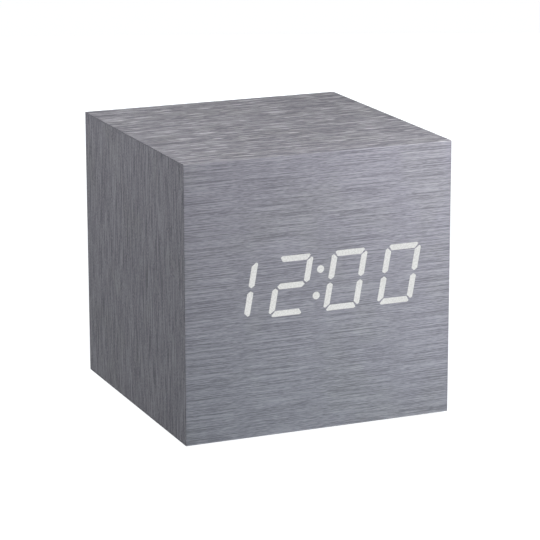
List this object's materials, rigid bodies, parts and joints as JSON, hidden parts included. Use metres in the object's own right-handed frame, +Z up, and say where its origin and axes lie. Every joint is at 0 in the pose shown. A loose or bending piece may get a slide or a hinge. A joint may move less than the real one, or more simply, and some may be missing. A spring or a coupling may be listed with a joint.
{
  "type": "talking clock",
  "caption": "Cube table clock with a hidden digital display that speaks the time, set from buttons on its back.",
  "frame": {"origin": "under the middle of the cube, on the surface its feet stand on", "axes": "+X to the right as the display is read, +Y from the display to the back, +Z up"},
  "size_m": [0.068, 0.068, 0.068],
  "materials": {
    "mdf_board": "raw fibreboard",
    "brushed_film": "brushed metal effect, satin",
    "rubber": "matt",
    "lit_segment": "lit from behind",
    "light_guide": "milky",
    "black_plastic": "fine spark texture",
    "switch_plastic": "smooth",
    "connector_plastic": "smooth",
    "circuit_board": "solder mask",
    "chip_resin": "moulded",
    "led_resin": "moulded",
    "screw_steel": "zinc plated",
    "plated_steel": "nickel plated",
    "speaker_steel": "zinc plated",
    "copper_coil": "enamelled wire",
    "paper_cone": "pressed film",
    "cell_sleeve": "satin sleeve",
    "wire_sleeve": "smooth",
    "ribbon_sleeve": "ribbed"
  },
  "bodies": {
    "case": {"aaa_cells": "cell_sleeve", "back_board": "mdf_board", "backup_cell": "plated_steel", "backup_cell_holder": "switch_plastic", "battery_leads": "wire_sleeve", "battery_plate_contacts": "plated_steel", "battery_springs": "plated_steel", "battery_tray": "black_plastic", "bottom_board": "mdf_board", "button_switch_domes": "plated_steel", "button_switch_housings": "switch_plastic", "capacitors": "plated_steel", "clock_chip": "chip_resin", "colon_dots": "lit_segment", "display_circuit_board": "circuit_board", "display_driver_chip": "chip_resin", "display_mask": "black_plastic", "front_board": "mdf_board", "hour_tens_digit": "lit_segment", "hour_units_digit": "lit_segment", "left_board": "mdf_board", "left_film": "brushed_film", "main_circuit_board": "circuit_board", "microphone_capsule": "plated_steel", "minute_tens_digit": "lit_segment", "minute_units_digit": "lit_segment", "pan_head_screws": "screw_steel", "power_socket_shell": "plated_steel", "power_socket_tongue": "switch_plastic", "quartz_crystal": "plated_steel", "rear_panel": "black_plastic", "rear_panel_screws": "screw_steel", "ribbon_cable": "ribbon_sleeve", "ribbon_plugs": "connector_plastic", "right_board": "mdf_board", "right_film": "brushed_film", "rubber_feet": "rubber", "segment_leds": "led_resin", "segment_light_guides": "light_guide", "speaker_frame": "speaker_steel", "speaker_gasket": "rubber", "speaker_leads": "wire_sleeve", "speaker_magnet": "speaker_steel", "speaker_pole_plate": "speaker_steel", "speaker_surround": "rubber", "speaker_yoke": "speaker_steel", "temperature_sensor": "chip_resin", "top_board": "mdf_board", "voice_chip": "chip_resin", "voice_switch_housing": "switch_plastic", "wrap_film": "brushed_film"},
    "down_button": {"down_button": "black_plastic"},
    "set_button": {"set_button": "black_plastic"},
    "up_button": {"up_button": "black_plastic"},
    "voice_switch": {"voice_switch_knob": "black_plastic"},
    "battery_door": {"battery_door": "black_plastic", "battery_door_latch": "black_plastic"},
    "speaker_diaphragm": {"speaker_cone": "paper_cone", "voice_coil": "copper_coil"}
  },
  "joints": [
    {"name": "down_button_press", "type": "slide", "parent": "case", "child": "down_button", "axis": [0, -1, 0], "range_m": [0, 0.0006], "stiffness_N_per_m": 1000, "deforming": ["button_switch_domes"]},
    {"name": "set_button_press", "type": "slide", "parent": "case", "child": "set_button", "axis": [0, -1, 0], "range_m": [0, 0.0006], "stiffness_N_per_m": 1000, "deforming": ["button_switch_domes"]},
    {"name": "up_button_press", "type": "slide", "parent": "case", "child": "up_button", "axis": [0, -1, 0], "range_m": [0, 0.0006], "stiffness_N_per_m": 1000, "deforming": ["button_switch_domes"]},
    {"name": "voice_switch_slide", "type": "slide", "parent": "case", "child": "voice_switch", "axis": [1, 0, 0], "range_m": [0, 0.002]},
    {"name": "battery_door_hinge", "type": "hinge", "parent": "case", "child": "battery_door", "pos_m": [0, 0.02095, 0.0017], "axis": [1, 0, 0], "range_deg": [0, 95], "deforming": ["battery_door_latch"]},
    {"name": "speaker_cone_travel", "type": "slide", "parent": "case", "child": "speaker_diaphragm", "axis": [0, 1, 0], "range_m": [-0.0003, 0.0003], "stiffness_N_per_m": 500, "deforming": ["speaker_surround"]}
  ]
}
